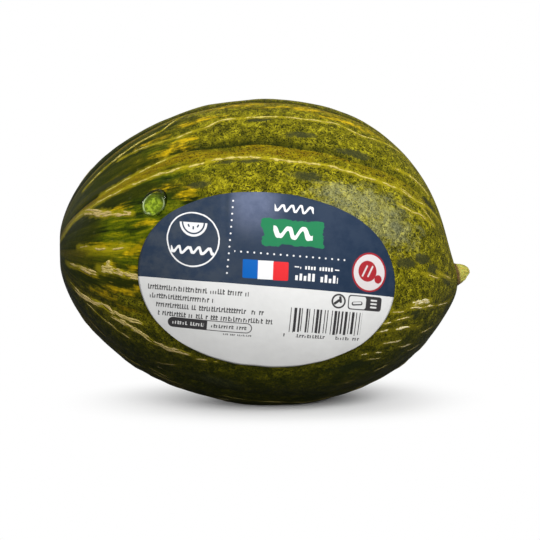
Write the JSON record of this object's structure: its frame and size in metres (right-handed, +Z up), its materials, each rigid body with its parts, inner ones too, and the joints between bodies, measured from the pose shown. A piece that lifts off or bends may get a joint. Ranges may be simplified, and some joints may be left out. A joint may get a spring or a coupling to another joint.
{
  "type": "whole melon",
  "caption": "Whole oval green melon with shallow ribs, corky netting and a snapped stalk stub, lying on a small flat spot, with an oval paper label and a bead of water.",
  "frame": {"origin": "on the surface the melon rests on, under the middle of its bounding box", "axes": "+X along the melon from the blossom end to the stem end, +Z up, and the label faces -Y"},
  "size_m": [0.2002, 0.1486, 0.1467],
  "materials": {
    "rind": "satin waxy melon rind, dark green with olive speckle, ochre bands and raised corky streaks",
    "stalk": "dry fibrous yellow-green stalk, snapped at a slant",
    "label_paper": "coated printed label, navy above and pale grey below, slight gloss",
    "water": "clear water"
  },
  "bodies": {
    "root": {"melon": "rind", "stalk_stub": "stalk", "label": "label_paper", "water_drop": "water"}
  },
  "joints": []
}
